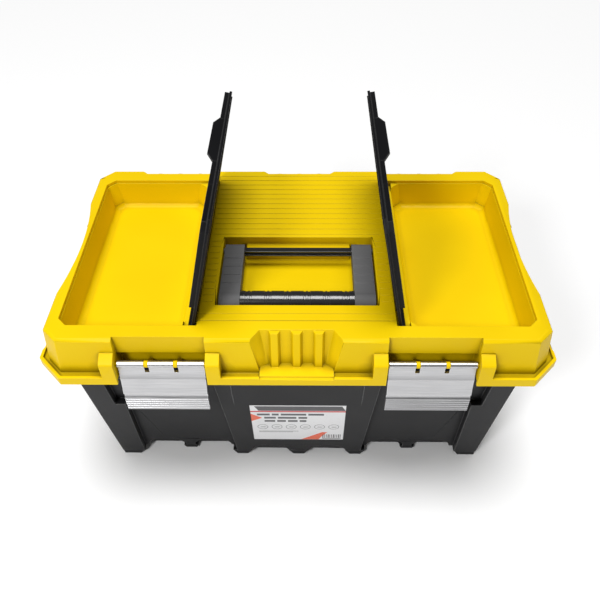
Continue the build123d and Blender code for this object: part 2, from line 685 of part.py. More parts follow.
def lid_details(body):
    """Ribs, rods, bumps and knuckles added to the moulded lid, then its bores."""
    pieces = latch_rods()
    # Ribs between the finger scallops.
    y1 = TOP_FRONT + GRIP_CUT
    for i in range(GRIP_RIBS):
        x = (i - (GRIP_RIBS - 1) / 2) * GRIP_RIB_PITCH
        pieces.append(loft_between(finger_rib(x, y1 - GRIP_LEAN), FLANGE_TOP + OVER, finger_rib(x, y1),
                                   HEIGHT - OVER))
    # The flange rises under the fingers.
    foot_y = y1 - GRIP_LEAN
    ramp = rectangle(FRONT + LIP_T, foot_y + OVER, FLANGE_TOP - OVER, RIM + LIP_H)
    pieces.append(side_profile(ramp, -GRIP_HALF_OUT + GRIP_LEAN, GRIP_HALF_OUT - GRIP_LEAN))
    # Bumps in the back scoops.
    bump_h, scoop_y = HEIGHT - OVER - FLANGE_TOP, TOP_BACK - BACK_SCOOP
    keep = block(-HALF, HALF, scoop_y - BUMP_KEEP, TOP_BACK, FLANGE_TOP - OVER, HEIGHT)
    for x in (-BACK_SCOOP_X, 0, BACK_SCOOP_X):
        for step in (-1, 0, 1):
            place = Pos(x + step * BUMP_PITCH, scoop_y + BUMP_H - BUMP_R, FLANGE_TOP + bump_h / 2)
            pieces.append(place * Cylinder(BUMP_R, bump_h) & keep)
    # Ribs in the side scoops.
    middle = (TOP_FRONT + TOP_BACK) / 2
    for side in (-1, 1):
        for i in range(SIDE_RIBS):
            dy = (i - (SIDE_RIBS - 1) / 2) * SIDE_RIB_PITCH
            face = TOP_HALF + SCOOP_R - SIDE_SCOOP - (SCOOP_R ** 2 - dy ** 2) ** 0.5
            pieces.append(block(side * (face - OVER), side * (face + SIDE_RIB_OUT), middle + dy - SIDE_RIB_W / 2,
                                middle + dy + SIDE_RIB_W / 2, FLANGE_TOP - OVER, HEIGHT - SIDE_RIB_DOWN))
    # Knuckles of the back hinge.
    length = (PIN_L - 3 * KNUCKLE_L) / 2 - KNUCKLE_END - 2 * GAP
    for side in (-1, 1):
        for edge in (-1, 1):
            x = side * HINGE_X + edge * (KNUCKLE_L / 2 + GAP + length / 2)
            pieces.append(rod("x", (x, HINGE_Y, HINGE_Z), KNUCKLE_R, length))
            pieces.append(block(x - length / 2, x + length / 2, LIP_BACK - OVER, HINGE_Y,
                                RIM + LEAF_GAP, HINGE_Z + KNUCKLE_R))
    body = join([body] + pieces)
    bores = []
    for side in (-1, 1):
        bores.append(rod("x", (side * HINGE_X, HINGE_Y, HINGE_Z), PIN_R + RUN, PIN_L + 2 * OVER))
        bores.append(rod("x", (side * (HANDLE_HALF_X + POCKET_SIDE + WALL / 2), PIVOT_Y, PIVOT_Z),
                         PIVOT_R + RUN, WALL + 2 * OVER))
        for y in (SEAT_Y0 - WALL / 2, SEAT_Y1 + WALL / 2):
            bores.append(rod("y", (side * COVER_HINGE_X, y, COVER_Z), STUB_R + RUN, WALL + 2 * OVER))
    return body.cut(*bores)


# ---------------------------------------------------------------- bin covers

def cover_closed():
    """The right cover, lying shut over its bin."""
    x1 = SEAT_X1 - COVER_SIDE_GAP
    y0, y1 = SEAT_Y0 + COVER_SIDE_GAP, SEAT_Y1 - COVER_SIDE_GAP
    c = SEAT_CORNER
    z0 = HEIGHT - RIDGE_H - COVER_T
    z1 = z0 + COVER_T
    x0 = COVER_HINGE_X
    plate = prism([(x0, y0), (x1 - c, y0), (x1, y0 + c), (x1, y1 - c), (x1 - c, y1), (x0, y1)], z0, z1)
    barrel = rod("y", (COVER_HINGE_X, (y0 + y1) / 2, COVER_Z), BARREL_R, y1 - y0)
    stub_l = y1 - y0 + 2 * (COVER_SIDE_GAP + WALL - STUB_IN)
    stub = rod("y", (COVER_HINGE_X, (y0 + y1) / 2, COVER_Z), STUB_R, stub_l)
    skirt_start = TROUGH_X + OVER + BIN_CORNER

    def skirt_line(inset):
        left = skirt_start + inset
        return [(left, y0 + inset), (x1 - c, y0 + inset), (x1 - inset, y0 + c), (x1 - inset, y1 - c),
                (x1 - c, y1 - inset), (left, y1 - inset)]
    z_low = z0 - SKIRT_H
    under = z_low - OVER
    skirt = prism(skirt_line(SKIRT_IN), z_low, z0 + COVER_T / 2) - prism(skirt_line(SKIRT_IN + SKIRT_T), under, z0)
    inner_wall = skirt_start + SKIRT_IN
    hinge_side = block(inner_wall - OVER, inner_wall + SKIRT_T + OVER, y0, y1, under, z0)
    skirt = skirt - hinge_side
    middle = (y0 + y1) / 2
    tab_x = x1 - SKIRT_IN - TAB_IN
    tab_y, tab_top = middle + TAB_BACK, TAB_HALF + TAB_SLOPE
    ends = [(tab_y - tab_top, z0), (tab_y - tab_top, z_low), (tab_y - TAB_HALF, z0 - TAB_DROP),
            (tab_y + TAB_HALF, z0 - TAB_DROP), (tab_y + tab_top, z_low), (tab_y + tab_top, z0)]
    tab = side_profile(ends, tab_x - SKIRT_T + TAB_IN, tab_x)
    face = x1 - SKIRT_IN
    for side in (-1, 1):
        near, far = middle + side * STEP_NEAR, middle + side * STEP_FAR
        skirt = skirt - block(face - STEP_IN, face + OVER, near, far, under, z0 - STEP_DOWN)
        skirt = skirt - block(face - WAIST_IN, face + OVER, middle, near, under, z0 - STEP_DOWN)
    ridges = []
    count = int((y1 - y0 - 2 * c) / RIDGE_PITCH)
    for i in range(count):
        y = middle + (i - (count - 1) / 2) * RIDGE_PITCH
        ridges.append(block(TROUGH_X, x1 - COVER_RIDGE_IN, y - RIDGE_W / 2, y + RIDGE_W / 2,
                            z1 - COVER_T / 2, z1 + RIDGE_H))
    return join([plate, barrel, stub, tab] + solids_of(skirt) + ridges)


def cover(side):
    """A cover standing open, leaning past upright towards the middle of the lid."""
    hinge = Axis((COVER_HINGE_X, 0, COVER_Z), (0, 1, 0))
    if side > 0:
        return cover_closed().rotate(hinge, -COVER_OPEN_RIGHT)
    return mirrored(cover_closed().rotate(hinge, -COVER_OPEN_LEFT))


# ---------------------------------------------------------------- handle

def handle_arm(side):
    """Flat arm from the pivot to the grip, rounded at both ends."""
    x0, x1 = HANDLE_HALF_X - ARM_W, HANDLE_HALF_X
    low = ARM_TOP - ARM_H
    bar = block(x0, x1, GRIP_Y, PIVOT_Y, low, ARM_TOP)
    nose = rod("x", ((x0 + x1) / 2, GRIP_Y, GRIP_Z), GRIP_R, ARM_W)
    tail = rod("x", ((x0 + x1) / 2, PIVOT_Y, (low + ARM_TOP) / 2), ARM_H / 2, ARM_W)
    pivot = rod("x", (HANDLE_HALF_X + (POCKET_SIDE + WALL) / 2 - 0.5, PIVOT_Y, PIVOT_Z), PIVOT_R,
                POCKET_SIDE + WALL)
    bands = []
    for share in BANDS:
        y = GRIP_Y + HANDLE_REACH * share
        bands.append(block(x0 + BAND_SIDE, x1 - BAND_SIDE, y, y + BAND_L, ARM_TOP - OVER, ARM_TOP + BAND_H))
    arm = join([bar, nose, tail, pivot] + bands)
    return arm if side > 0 else mirrored(arm)


def handle_grip():
    """Round grip between the arms, with pairs of rings."""
    half = HANDLE_HALF_X - ARM_W
    grip = rod("x", (0, GRIP_Y, GRIP_Z), GRIP_R + GRIP_RING_H, 2 * half)
    core = rod("x", (0, GRIP_Y, GRIP_Z), GRIP_R, 2 * half)
    grooves = []
    for i in range(GRIP_RINGS):
        x = (i - (GRIP_RINGS - 1) / 2) * RING_PITCH
        for edge in (-1, 1):
            place = Pos(x + edge * RING_GROOVE, 0, 0)
            grooves.append(place * rod("x", (0, GRIP_Y, GRIP_Z), GRIP_R + OVER, RING_GROOVE))
    return join([grip.cut(*grooves), core])


def handle_bar():
    """Ribbed bar between the arms, in front of the pivot."""
    half = HANDLE_HALF_X - ARM_W
    y1 = PIVOT_Y - BAR_IN
    y0 = y1 - BAR_D
    top, low, web = ARM_TOP - BAR_DOWN, ARM_TOP - BAR_DOWN - BAR_H, (y0 + y1) / 2
    return join([block(-half, half, web - BAR_FLANGE / 2, web + BAR_FLANGE / 2, low, top),
                 block(-half, half, y0, y1, top - BAR_FLANGE, top),
                 block(-half, half, y0, y1, low, low + BAR_FLANGE)])


# ---------------------------------------------------------------- latches

def latch_closed():
    """The right latch: a barrel, a slightly hollow panel and a ribbed lower part with a hook behind."""
    x0, x1 = LATCH_X - LATCH_HALF, LATCH_X + LATCH_HALF
    y, z = LATCH_Y, LATCH_Z
    face = FRONT + LATCH_FACE
    line = [(y - NECK_OUT, z - OVER), (y - NECK_OUT, z - NECK_DOWN), (y - BEND_OUT, z - LATCH_H / 3),
            (face, LATCH_LOW + LATCH_RIBS * RIB_PITCH + RIB_ABOVE), (face, LATCH_LOW)]
    panel = line + [(py + LATCH_T, pz) for py, pz in reversed(line)]
    pieces = [side_profile(panel, x0, x1), rod("x", (LATCH_X, y, z), LATCH_BARREL_R, LATCH_W)]
    for i in range(LATCH_RIBS):
        low = LATCH_LOW + i * RIB_PITCH
        pieces.append(block(x0, x1, FRONT, face + LATCH_T / 2, low, low + RIB_PITCH * RIB_SHARE))
    hook_in, hook_z = FRONT + APRON_IN - GAP, LATCH_LOW + HOOK_UP
    pieces.append(block(x0 + HOOK_SIDE, x1 - HOOK_SIDE, face + LATCH_T / 2, hook_in, hook_z, hook_z + HOOK_T))
    body = join(pieces)
    cuts = [rod("x", (LATCH_X, y, z), ROD_R + RUN, LATCH_W + 2 * OVER)]
    for edge in (-1, 1):
        x = LATCH_X + edge * SLOT_X
        cuts.append(block(x - SLOT_W / 2, x + SLOT_W / 2, y - SLOT_REACH, y + SLOT_REACH, z - SLOT_DOWN,
                          z + SLOT_REACH))
    return body.cut(*cuts)


def latch(side):
    body = latch_closed()
    return body if side > 0 else mirrored(body)


# ---------------------------------------------------------------- tray

def tray_outline(z, inset):
    drop = TRAY_DRAFT * (TRAY_Z1 - z) / TRAY_H
    half = base_half(TRAY_Z0) - SIDE_PANEL - WALL - TRAY_GAP - drop - inset
    front = base_front(TRAY_Z0) + PANEL_H + WALL + TRAY_GAP + drop + inset
    back = base_back(TRAY_Z0) - SIDE_PANEL - WALL - TRAY_GAP - drop - inset
    return half, front, back


def tray_well(x0, x1, y0, y1):
    """One compartment of the tray, narrower at its floor."""
    d = TRAY_WELL_DRAFT
    return loft_between(rectangle(x0 + d, x1 - d, y0 + d, y1 - d), TRAY_Z0 + TRAY_WALL,
                        rectangle(x0, x1, y0, y1), TRAY_Z1 + OVER)


def tray_shell():
    """Tray with two small wells at the front, two long ones at the back and a middle wall for the handle."""
    half0, front0, back0 = tray_outline(TRAY_Z0, 0)
    half1, front1, back1 = tray_outline(TRAY_Z1, 0)
    body = loft_between(rectangle(-half0, half0, front0, back0), TRAY_Z0,
                        rectangle(-half1, half1, front1, back1), TRAY_Z1)
    half, front, back = tray_outline(TRAY_Z1, TRAY_WALL)
    spine0, spine1 = -SPINE_W / 2, SPINE_W / 2
    wells = [tray_well(-half, half, spine1, back)]
    third = 2 * half / 3
    for i in range(3):
        x0 = -half + i * third
        wells.append(tray_well(x0 + (TRAY_WALL / 2 if i else 0), x0 + third - (TRAY_WALL / 2 if i < 2 else 0),
                               front, spine0))
    body = body.cut(*wells)
    # The middle wall is hollow from below, and lower where the hand reaches round the handle.
    skin = TRAY_SKIN
    dip_floor = TRAY_Z1 - TRAY_H / 2
    dip_half = TRAY_GRIP_L / 2
    dip = block(-dip_half, dip_half, spine0 - DIP_SIDE, spine1 + DIP_SIDE, dip_floor, TRAY_Z1 + OVER)
    low = block(-half + skin, half - skin, spine0 + skin, spine1 - skin, TRAY_Z0 - OVER, dip_floor - TRAY_WALL)
    ends = [block(side * (dip_half + skin), side * (half - skin), spine0 + skin, spine1 - skin, TRAY_Z0 - OVER,
                  TRAY_Z1 - TRAY_WALL) for side in (-1, 1)]
    return body.cut(dip, low, *ends)


def tray_handle():
    """Round carrying bar over the dip in the tray's middle wall, between the wall's two ends."""
    return rod("x", (0, 0, TRAY_Z1 - TRAY_GRIP_R + TRAY_GRIP_UP), TRAY_GRIP_R, TRAY_GRIP_L)


# ---------------------------------------------------------------- write one file for each piece

def write(name, shape):
    solids = solids_of(shape)
    print(name, "solids", len(solids), "volume", round(sum(s.volume for s in solids)))
    export_step(shape, os.path.join("parts", name + ".step"))


def main():
    os.makedirs("parts", exist_ok=True)
    write("base_shell", base_shell())
    write("front_label", front_label())
    write("lid_shell", lid_details(lid_shell()))
    for name, side in (("left", -1), ("right", 1)):
        write("hinge_pin_" + name, hinge_pin(side))
        write("bin_cover_" + name, cover(side))
        write("latch_" + name, latch(side))
        write("handle_arm_" + name, handle_arm(side))
    write("handle_grip", handle_grip())
    write("handle_bar", handle_bar())
    write("tray_shell", tray_shell())
    write("tray_handle", tray_handle())


main()
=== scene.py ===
# %% [markdown]
# A toolbox with a tray
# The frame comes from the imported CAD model: it holds every piece at its true size and place, and it knows
# how the lid, the two bin covers, the handle, the latches and the tray move. This lesson dresses that
# frame: each moulded piece gets rounded edges, the metal latches and the printed label are built up in
# detail, and every surface gets a procedural finish. Everything is in metres, with X to the right, Y to the
# back and Z up.

# %% Load the frame
import math
import bmesh
import bpy
from mathutils import Matrix, Vector


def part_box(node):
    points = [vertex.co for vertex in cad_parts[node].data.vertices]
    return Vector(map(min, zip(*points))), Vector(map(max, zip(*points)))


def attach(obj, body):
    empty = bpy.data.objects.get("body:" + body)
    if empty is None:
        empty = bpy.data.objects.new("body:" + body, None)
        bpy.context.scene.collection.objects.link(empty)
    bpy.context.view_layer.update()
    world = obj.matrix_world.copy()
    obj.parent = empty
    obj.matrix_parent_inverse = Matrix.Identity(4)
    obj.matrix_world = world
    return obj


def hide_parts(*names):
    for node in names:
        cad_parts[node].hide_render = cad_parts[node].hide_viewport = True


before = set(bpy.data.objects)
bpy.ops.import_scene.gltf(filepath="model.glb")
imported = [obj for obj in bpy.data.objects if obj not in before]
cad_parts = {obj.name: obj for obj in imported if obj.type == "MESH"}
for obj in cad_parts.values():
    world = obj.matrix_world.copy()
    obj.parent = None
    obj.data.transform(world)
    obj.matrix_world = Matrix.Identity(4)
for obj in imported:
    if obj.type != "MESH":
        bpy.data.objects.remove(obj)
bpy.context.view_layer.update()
MM = 0.001

# %% [markdown]
# Shared effects
# A moulded surface is never perfectly even. Spark erosion leaves a fine grain on the mould, the colour
# drifts a little with the flow of the plastic, handling wears and polishes the edges, and dust settles on
# what looks up. Along the edges a painted highlight is laid over the wear, and the bottom of a crease gets
# painted shade, darker than an open face. More than one finish needs these, so each is a shader node group
# with named inputs and outputs, built once and placed in every material that needs it with its own numbers.

# %% A helper for node groups
def new_group(name, inputs, outputs):
    """An empty shader node group with named number inputs and named outputs."""
    group = bpy.data.node_groups.new(name, "ShaderNodeTree")
    for label, kind, value in inputs:
        socket = group.interface.new_socket(label, in_out="INPUT", socket_type=kind)
        socket.default_value = value
    for label, kind in outputs:
        group.interface.new_socket(label, in_out="OUTPUT", socket_type=kind)
    return group, group.nodes.new("NodeGroupInput"), group.nodes.new("NodeGroupOutput")


def math_node(tree, operation, first, second=None, third=None, clamp=False):
    """One Math node, fed by sockets or plain numbers."""
    node = tree.nodes.new("ShaderNodeMath")
    node.operation = operation
    node.use_clamp = clamp
    for slot, value in enumerate((first, second, third)):
        if value is None:
            continue
        if isinstance(value, (int, float)):
            node.inputs[slot].default_value = value
        else:
            tree.links.new(value, node.inputs[slot])
    return node.outputs[0]


def ramp_node(tree, value, stops):
    """A ColorRamp from (position, grey) stops."""
    node = tree.nodes.new("ShaderNodeValToRGB")
    ramp = node.color_ramp
    ramp.elements[0].position, ramp.elements[1].position = stops[0][0], stops[-1][0]
    for element, stop in zip((ramp.elements[0], ramp.elements[1]), (stops[0], stops[-1])):
        element.color = (stop[1], stop[1], stop[1], 1)
    for position, grey in stops[1:-1]:
        element = ramp.elements.new(position)
        element.color = (grey, grey, grey, 1)
    tree.links.new(value, node.inputs["Fac"])
    return node.outputs["Color"]

# %% Moulded grain
def make_moulded_grain():
    """Fine grain for a bump, and slow drifts of tone, both in object space."""
    group, ins, outs = new_group(
        "moulded_grain",
        [("Grain Scale", "NodeSocketFloat", 900.0), ("Grain Depth", "NodeSocketFloat", 0.5),
         ("Drift Scale", "NodeSocketFloat", 9.0)],
        [("Height", "NodeSocketFloat"), ("Drift", "NodeSocketFloat"), ("Speckle", "NodeSocketFloat")])
    place = group.nodes.new("ShaderNodeTexCoord")
    fine = group.nodes.new("ShaderNodeTexNoise")
    fine.inputs["Detail"].default_value = 3.0
    slow = group.nodes.new("ShaderNodeTexNoise")
    slow.inputs["Detail"].default_value = 2.0
    pores = group.nodes.new("ShaderNodeTexVoronoi")
    for node, label in ((fine, "Grain Scale"), (pores, "Grain Scale"), (slow, "Drift Scale")):
        group.links.new(place.outputs["Object"], node.inputs["Vector"])
        group.links.new(ins.outputs[label], node.inputs["Scale"])
    mixed = math_node(group, "ADD", fine.outputs["Fac"], pores.outputs["Distance"])
    height = math_node(group, "MULTIPLY", mixed, ins.outputs["Grain Depth"])
    group.links.new(height, outs.inputs["Height"])
    group.links.new(slow.outputs["Fac"], outs.inputs["Drift"])
    group.links.new(fine.outputs["Fac"], outs.inputs["Speckle"])
    return group

# %% Worn edges with a painted highlight
EDGE_MASK_RADIUS = 0.9 * MM
EDGE_MASK_PATCHES = 60.0


def make_edge_wear_and_highlight():
    """A mask that is 1 along edges, from the difference between the rounded and the true normal: wear and a
    painted highlight.
    """
    group, ins, outs = new_group(
        "edge_wear_and_highlight",
        [("Breakup", "NodeSocketFloat", 0.4), ("Strength", "NodeSocketFloat", 6.0)],
        [("Mask", "NodeSocketFloat")])
    rounded = group.nodes.new("ShaderNodeBevel")
    rounded.samples = 4
    rounded.inputs["Radius"].default_value = EDGE_MASK_RADIUS
    geometry = group.nodes.new("ShaderNodeNewGeometry")
    dot = group.nodes.new("ShaderNodeVectorMath")
    dot.operation = "DOT_PRODUCT"
    group.links.new(rounded.outputs["Normal"], dot.inputs[0])
    group.links.new(geometry.outputs["Normal"], dot.inputs[1])
    away = math_node(group, "SUBTRACT", 1.0, dot.outputs["Value"], clamp=True)
    place = group.nodes.new("ShaderNodeTexCoord")
    patches = group.nodes.new("ShaderNodeTexNoise")
    patches.inputs["Scale"].default_value = EDGE_MASK_PATCHES
    group.links.new(place.outputs["Object"], patches.inputs["Vector"])
    broken = math_node(group, "MULTIPLY", patches.outputs["Fac"], ins.outputs["Breakup"])
    kept = math_node(group, "SUBTRACT", 1.0, broken, clamp=True)
    strong = math_node(group, "MULTIPLY", away, ins.outputs["Strength"], clamp=True)
    group.links.new(math_node(group, "MULTIPLY", strong, kept), outs.inputs["Mask"])
    return group

# %% Settled dust
def make_settled_dust():
    """A faint film on faces that look up, patchy as dust is."""
    group, ins, outs = new_group(
        "settled_dust",
        [("Amount", "NodeSocketFloat", 0.1), ("Patch Scale", "NodeSocketFloat", 24.0)],
        [("Film", "NodeSocketFloat")])
    geometry = group.nodes.new("ShaderNodeNewGeometry")
    split = group.nodes.new("ShaderNodeSeparateXYZ")
    group.links.new(geometry.outputs["Normal"], split.inputs[0])
    up = math_node(group, "MAXIMUM", split.outputs["Z"], 0.0)
    place = group.nodes.new("ShaderNodeTexCoord")
    patches = group.nodes.new("ShaderNodeTexNoise")
    patches.inputs["Detail"].default_value = 6.0
    group.links.new(place.outputs["Object"], patches.inputs["Vector"])
    group.links.new(ins.outputs["Patch Scale"], patches.inputs["Scale"])
    patchy = math_node(group, "MULTIPLY", up, patches.outputs["Fac"])
    group.links.new(math_node(group, "MULTIPLY", patchy, ins.outputs["Amount"]), outs.inputs["Film"])
    return group


# %% Creases get painted shade
CREASE_SHUT, CREASE_OPEN = 0.35, 0.88


def make_crease_shade():
    """How open a place is, for painted shade: 1 on a free face, falling towards 0 at the bottom of a crease.
    """
    group, ins, outs = new_group(
        "crease_shade", [("Reach", "NodeSocketFloat", 0.01)], [("Open", "NodeSocketFloat")])
    around = group.nodes.new("ShaderNodeAmbientOcclusion")
    around.only_local = True
    group.links.new(ins.outputs["Reach"], around.inputs["Distance"])
    open_air = ramp_node(group, around.outputs["AO"], [(CREASE_SHUT, 0.0), (CREASE_OPEN, 1.0)])
    group.links.new(open_air, outs.inputs["Open"])
    return group


grain_group = make_moulded_grain()
wear_and_highlight_group = make_edge_wear_and_highlight()
dust_group = make_settled_dust()
crease_group = make_crease_shade()
print("node groups:", [g.name for g in (grain_group, wear_and_highlight_group, dust_group, crease_group)])

# %% [markdown]
# Plastics
# Each plastic is one Principled shader. Its colour is drawn between a darker and a lighter tone by the slow
# drift and lifted at the edges, partly as wear where hands rub and partly as a painted highlight. Some are
# also greyed by a trace of dust or darkened in their creases by painted shade. A fine bump gives the satin
# break-up of highlights. One function builds them all, and each finish passes in its own colours, gloss and
# grain.

# %% Moulded plastic
def place_group(tree, group, **values):
    """One use of a shared group, with its own numbers. An underscore stands for a space."""
    node = tree.nodes.new("ShaderNodeGroup")
    node.node_tree = group
    for label, value in values.items():
        node.inputs[label.replace("_", " ")].default_value = value
    return node


def mix_colours(tree, factor, first, second):
    """A colour mix. Each colour is a socket or three numbers."""
    node = tree.nodes.new("ShaderNodeMix")
    node.data_type = "RGBA"
    tree.links.new(factor, node.inputs["Factor"])
    for label, colour in (("A", first), ("B", second)):
        socket = [s for s in node.inputs if s.name == label and s.type == "RGBA"][0]
        if isinstance(colour, (tuple, list)):
            socket.default_value = (*colour, 1)
        else:
            tree.links.new(colour, socket)
    return [s for s in node.outputs if s.type == "RGBA"][0]


CREASE_SHADE_TONE = 0.3          # painted shade at the bottom of a crease, as a share of the darker plastic tone
DUST_TONE = (0.55, 0.52, 0.47)
SPECKLE = 0.16             # how far the fine grain swings the roughness
RUB_POLISH = -0.1          # what handling takes off the roughness along an edge
DUST_DULL = 0.5            # what a full film of dust adds to it
COAT_ROUGH = 0.18
PLASTIC_RELIEF = 0.1 * MM


def moulded_plastic(name, dark, light, edge, rough, grain_scale, grain_depth, bump,
                    coat=0.0, dust=0.0, wear_and_highlight=6.0, specular=0.5, crease=0.0):
    """A moulded plastic between two tones, with grain, worn edges with a painted highlight, and dust or
    painted crease shade where asked.

    crease is the reach of the painted crease shade in millimetres.
    """
    material = bpy.data.materials.new(name)
    material.use_nodes = True
    tree = material.node_tree
    shader = tree.nodes["Principled BSDF"]
    grain = place_group(tree, grain_group, Grain_Scale=grain_scale, Grain_Depth=grain_depth)
    wear_and_highlight_mask = place_group(tree, wear_and_highlight_group, Strength=wear_and_highlight)
    drift = ramp_node(tree, grain.outputs["Drift"], [(0.3, 0.0), (0.7, 1.0)])
    colour = mix_colours(tree, drift, dark, light)
    # Painted highlight and wear: along the edges the colour lifts towards the lighter edge tone.
    colour = mix_colours(tree, wear_and_highlight_mask.outputs["Mask"], colour, edge)
    speckled = math_node(tree, "MULTIPLY_ADD", grain.outputs["Speckle"], SPECKLE, rough - SPECKLE / 2)
    gloss = math_node(tree, "MULTIPLY_ADD", wear_and_highlight_mask.outputs["Mask"], RUB_POLISH, speckled)
    if dust:
        film = place_group(tree, dust_group, Amount=dust)
        colour = mix_colours(tree, film.outputs["Film"], colour, DUST_TONE)
        gloss = math_node(tree, "MULTIPLY_ADD", film.outputs["Film"], DUST_DULL, gloss, clamp=True)
    # Painted shade: the colour darkens towards the bottom of a crease, where less light reaches.
    if crease:
        shade = place_group(tree, crease_group, Reach=crease * MM)
        crease_shade_colour = tuple(CREASE_SHADE_TONE * channel for channel in dark)
        colour = mix_colours(tree, shade.outputs["Open"], crease_shade_colour, colour)
    tree.links.new(colour, shader.inputs["Base Color"])
    tree.links.new(gloss, shader.inputs["Roughness"])
    shader.inputs["Specular IOR Level"].default_value = specular
    shader.inputs["Coat Weight"].default_value = coat
    shader.inputs["Coat Roughness"].default_value = COAT_ROUGH
    relief = tree.nodes.new("ShaderNodeBump")
    relief.inputs["Strength"].default_value = bump
    relief.inputs["Distance"].default_value = PLASTIC_RELIEF
    tree.links.new(grain.outputs["Height"], relief.inputs["Height"])
    tree.links.new(relief.outputs["Normal"], shader.inputs["Normal"])
    return material


lid_yellow = moulded_plastic(
    "lid_yellow", (0.80, 0.54, 0.0), (0.86, 0.60, 0.001), (0.97, 0.76, 0.02),
    rough=0.42, grain_scale=1400, grain_depth=0.4, bump=0.12, specular=0.12, wear_and_highlight=4.0, crease=14.0)
base_charcoal = moulded_plastic(
    "base_charcoal", (0.020, 0.020, 0.021), (0.028, 0.028, 0.029), (0.30, 0.30, 0.30),
    rough=0.5, grain_scale=1700, grain_depth=0.6, bump=0.25, specular=0.12, wear_and_highlight=9.0, crease=10.0)
cover_black = moulded_plastic(
    "cover_black", (0.004, 0.004, 0.005), (0.007, 0.007, 0.008), (0.06, 0.06, 0.06),
    rough=0.4, grain_scale=1500, grain_depth=0.5, bump=0.18, specular=0.1)
handle_grain = moulded_plastic(
    "handle_grain", (0.075, 0.075, 0.076), (0.150, 0.150, 0.152), (0.20, 0.20, 0.20),
    rough=0.62, grain_scale=1100, grain_depth=1.0, bump=0.8, dust=0.02, specular=0.35)
handle_gloss = moulded_plastic(
    "handle_gloss", (0.006, 0.006, 0.007), (0.010, 0.010, 0.011), (0.05, 0.05, 0.05),
    rough=0.22, grain_scale=1800, grain_depth=0.2, bump=0.05, coat=0.6, dust=0.01)
tray_black = moulded_plastic(
    "tray_black", (0.022, 0.022, 0.024), (0.032, 0.032, 0.034), (0.12, 0.12, 0.12),
    rough=0.45, grain_scale=1500, grain_depth=0.5, bump=0.2, dust=0.06)
print("plastics made")

# %% [markdown]
# Metals
# The latches are extruded aluminium. The die leaves fine lines along the bar, so the noise that drives
# roughness and bump is stretched far along X. The hinge pins are drawn steel wire.

# %% Brushed metal
LINE_STRETCH = 0.012       # the die lines are this much coarser along X than across it
LINE_SCALE, CLOUD_SCALE = 2600.0, 40.0
LINE_SWING, CLOUD_SWING = 0.22, 0.1
BRIGHT_EDGE = (0.92, 0.92, 0.92)
METAL_RELIEF = 0.05 * MM


def brushed_metal(name, dark, light, rough, bump):
    """Metal with fine lines along X."""
    material = bpy.data.materials.new(name)
    material.use_nodes = True
    tree = material.node_tree
    shader = tree.nodes["Principled BSDF"]
    place = tree.nodes.new("ShaderNodeTexCoord")
    stretch = tree.nodes.new("ShaderNodeMapping")
    stretch.inputs["Scale"].default_value = (LINE_STRETCH, 1.0, 1.0)
    tree.links.new(place.outputs["Object"], stretch.inputs["Vector"])
    lines = tree.nodes.new("ShaderNodeTexNoise")
    lines.inputs["Scale"].default_value = LINE_SCALE
    lines.inputs["Detail"].default_value = 3.0
    tree.links.new(stretch.outputs["Vector"], lines.inputs["Vector"])
    clouds = tree.nodes.new("ShaderNodeTexNoise")
    clouds.inputs["Scale"].default_value = CLOUD_SCALE
    tree.links.new(place.outputs["Object"], clouds.inputs["Vector"])
    wear_and_highlight_mask = place_group(tree, wear_and_highlight_group, Strength=5.0)
    film = place_group(tree, dust_group, Amount=0.05)
    tone = ramp_node(tree, lines.outputs["Fac"], [(0.3, 0.0), (0.7, 1.0)])
    colour = mix_colours(tree, tone, dark, light)
    # Painted highlight and wear: along the edges the metal lifts towards a bright tone.
    colour = mix_colours(tree, wear_and_highlight_mask.outputs["Mask"], colour, BRIGHT_EDGE)
    tree.links.new(colour, shader.inputs["Base Color"])
    shader.inputs["Metallic"].default_value = 1.0
    streaky = math_node(tree, "MULTIPLY_ADD", lines.outputs["Fac"], LINE_SWING, rough - LINE_SWING / 2)
    cloudy = math_node(tree, "MULTIPLY_ADD", clouds.outputs["Fac"], CLOUD_SWING, streaky)
    dulled = math_node(tree, "MULTIPLY_ADD", film.outputs["Film"], 0.6, cloudy, clamp=True)
    tree.links.new(dulled, shader.inputs["Roughness"])
    relief = tree.nodes.new("ShaderNodeBump")
    relief.inputs["Strength"].default_value = bump
    relief.inputs["Distance"].default_value = METAL_RELIEF
    tree.links.new(lines.outputs["Fac"], relief.inputs["Height"])
    tree.links.new(relief.outputs["Normal"], shader.inputs["Normal"])
    return material


latch_metal = brushed_metal("latch_metal", (0.42, 0.42, 0.43), (0.58, 0.58, 0.59), rough=0.3, bump=0.25)
pin_metal = brushed_metal("pin_metal", (0.38, 0.38, 0.39), (0.52, 0.52, 0.53), rough=0.3, bump=0.1)
print("metals made")

# %% [markdown]
# Rounded mouldings
# A mould can't make a truly sharp edge: every edge of a plastic shell has a small radius that catches the
# light. The CAD solids are sharp there, so each moulding is a copy of its CAD mesh. Flat faces are merged,
# the sharp edges get a bevel weight, and a Bevel modifier rounds just those. A curved rim is a chain of
# short edges, so a short edge is rounded too when it carries on such a chain. Beside a narrow face the
# rounding shrinks to a share of the face's width, so thin ribs, ledges and slots survive.

# %% Copy a CAD node with rounded edges
WELD, FLAT_ANGLE = 0.002 * MM, math.radians(1.0)
SHARP_ANGLE = math.radians(36.0)
SHORTEST = 2.0 * MM        # a sharp edge below this length is rounded only when it is part of a rim
NARROW_SHARE = 0.35        # a narrow face loses at most this share of its width to each rounded edge
MANY_CORNERS = 4           # a flat face with more corners than this is split, so that it fills cleanly
ROUND_STEPS = 2


